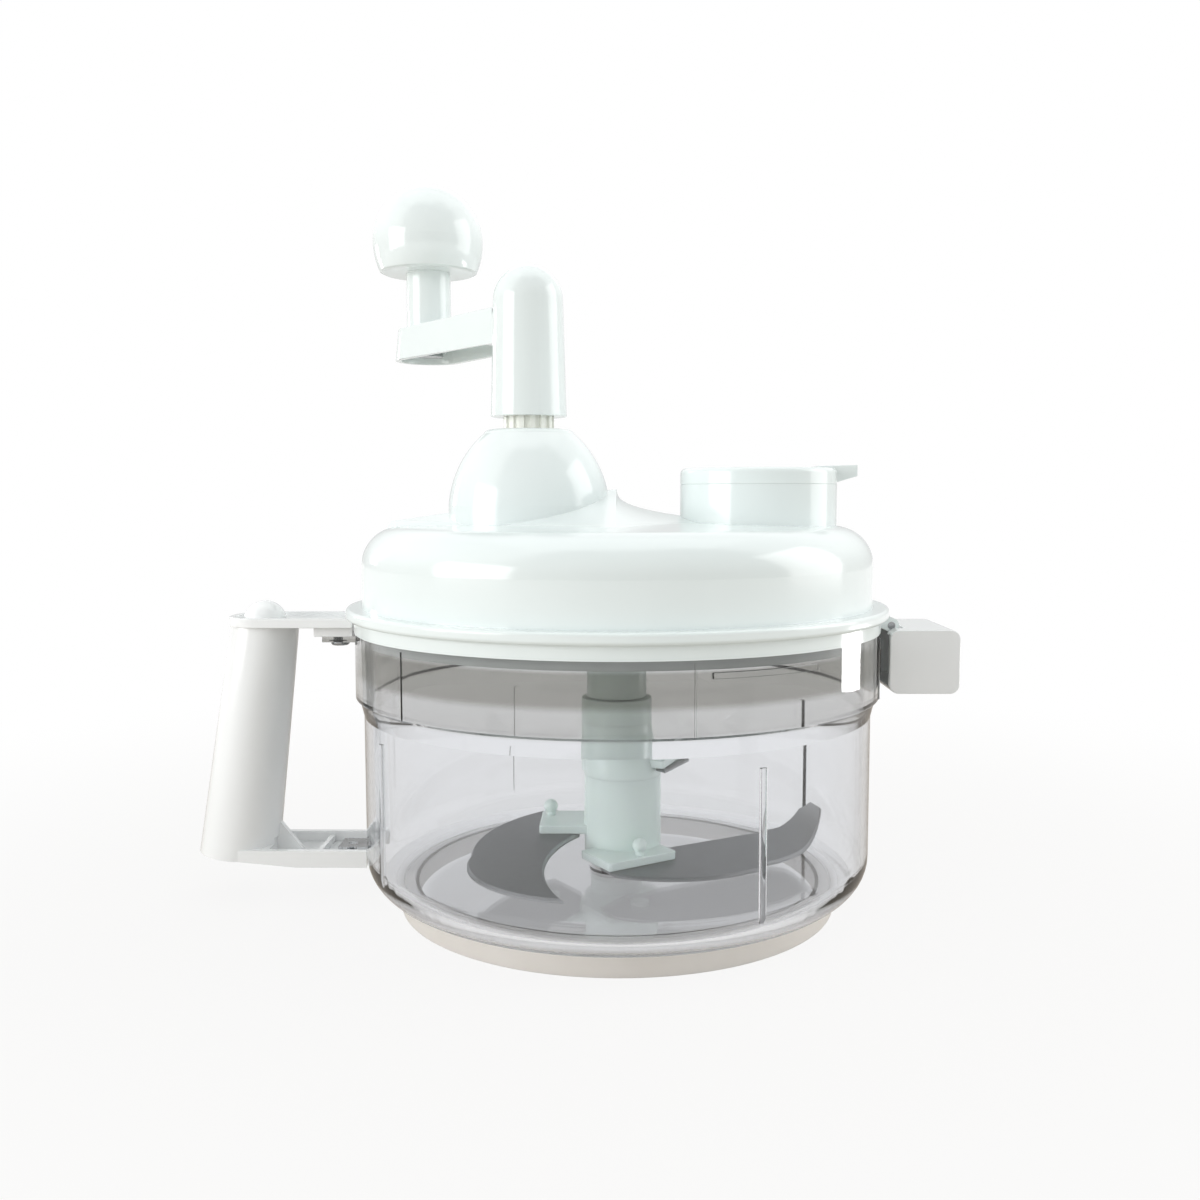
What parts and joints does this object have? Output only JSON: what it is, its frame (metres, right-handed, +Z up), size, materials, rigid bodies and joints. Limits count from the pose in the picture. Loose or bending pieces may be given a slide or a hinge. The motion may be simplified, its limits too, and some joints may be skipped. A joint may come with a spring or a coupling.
{
  "type": "hand-cranked vegetable shredder",
  "caption": "Hand-cranked kitchen chopper: clear bowl, white lid with offset gear dome, ball-knob crank, feed chute, side handle, latch and a column of curved blades.",
  "frame": {"origin": "on the bowl's axis, at the surface it stands on", "axes": "+Z up along the bowl's axis, +X towards the side latch, -X towards the handle, -Y towards the front"},
  "size_m": [0.2438, 0.1716, 0.241],
  "materials": {
    "clear_bowl": "clear moulded bowl plastic, polished",
    "soft_ring": "milky soft ring, matt",
    "white_shell": "glossy white moulded plastic with a cool tint",
    "mint_plastic": "pale mint moulded plastic",
    "natural_nylon": "natural nylon, slightly cream",
    "gear_acetal": "natural acetal gear",
    "bush_acetal": "dark acetal bush",
    "washer_white": "white nylon washer",
    "seal_grey": "grey silicone seal",
    "blade_steel": "stainless sheet with a ground edge",
    "pin_steel": "ground steel pin",
    "screw_zinc": "zinc-plated screw"
  },
  "bodies": {
    "bowl_base": {"bowl": "clear_bowl", "non_slip_base": "soft_ring", "spindle_pin": "pin_steel", "thrust_washer": "washer_white", "handle_grip": "white_shell", "handle_top_arm": "white_shell", "handle_cap": "white_shell", "handle_tie_screw": "screw_zinc", "handle_screws": "screw_zinc"},
    "lid_unit": {"lid": "white_shell", "lid_seal": "seal_grey", "gear_cover": "white_shell", "gear_cover_screws": "screw_zinc", "crank_bush": "bush_acetal", "drive_bush": "bush_acetal", "latch_pin": "pin_steel"},
    "crank_unit": {"crank_arm": "white_shell", "crank_shaft": "natural_nylon", "crank_gear": "gear_acetal", "crank_washer": "washer_white", "crank_bolt": "screw_zinc", "knob_pin": "pin_steel", "knob_washer": "washer_white"},
    "knob_unit": {"knob": "white_shell"},
    "drive_unit": {"drive_pinion": "gear_acetal", "drive_shaft": "mint_plastic", "drive_screw": "screw_zinc"},
    "blade_unit": {"blade_column": "mint_plastic", "side_blade": "blade_steel", "swept_blade": "blade_steel", "upper_blade": "blade_steel", "blade_rivets": "mint_plastic"},
    "cap_unit": {"feed_cap": "white_shell", "cap_seal": "seal_grey"},
    "latch_unit": {"side_latch": "white_shell"}
  },
  "joints": [
    {"name": "lid_lift", "type": "slide", "parent": "bowl_base", "child": "lid_unit", "axis": [0, 0, 1], "range_m": [0, 0.1]},
    {"name": "crank_spin", "type": "hinge", "parent": "lid_unit", "child": "crank_unit", "pos_m": [-0.028, 0, 0.112], "axis": [0, 0, 1], "continuous": true},
    {"name": "knob_spin", "type": "hinge", "parent": "crank_unit", "child": "knob_unit", "pos_m": [-0.06796, 0.05303, 0.2], "axis": [0, 0, 1], "continuous": true},
    {"name": "drive_spin", "type": "hinge", "parent": "lid_unit", "child": "drive_unit", "pos_m": [0, 0, 0.112], "axis": [0, 0, 1], "continuous": true},
    {"name": "blade_spin", "type": "hinge", "parent": "bowl_base", "child": "blade_unit", "pos_m": [0, 0, 0.03], "axis": [0, 0, 1], "continuous": true},
    {"name": "feed_cap_lift", "type": "slide", "parent": "lid_unit", "child": "cap_unit", "axis": [0, 0, 1], "range_m": [0, 0.04]},
    {"name": "latch_swing", "type": "hinge", "parent": "lid_unit", "child": "latch_unit", "pos_m": [0.0864, 0, 0.09], "axis": [0, -1, 0], "range_deg": [0, 90]}
  ],
  "couplings": [
    {"joint": "drive_spin", "follows": "crank_spin", "ratio": -2.5},
    {"joint": "blade_spin", "follows": "crank_spin", "ratio": -2.5}
  ]
}
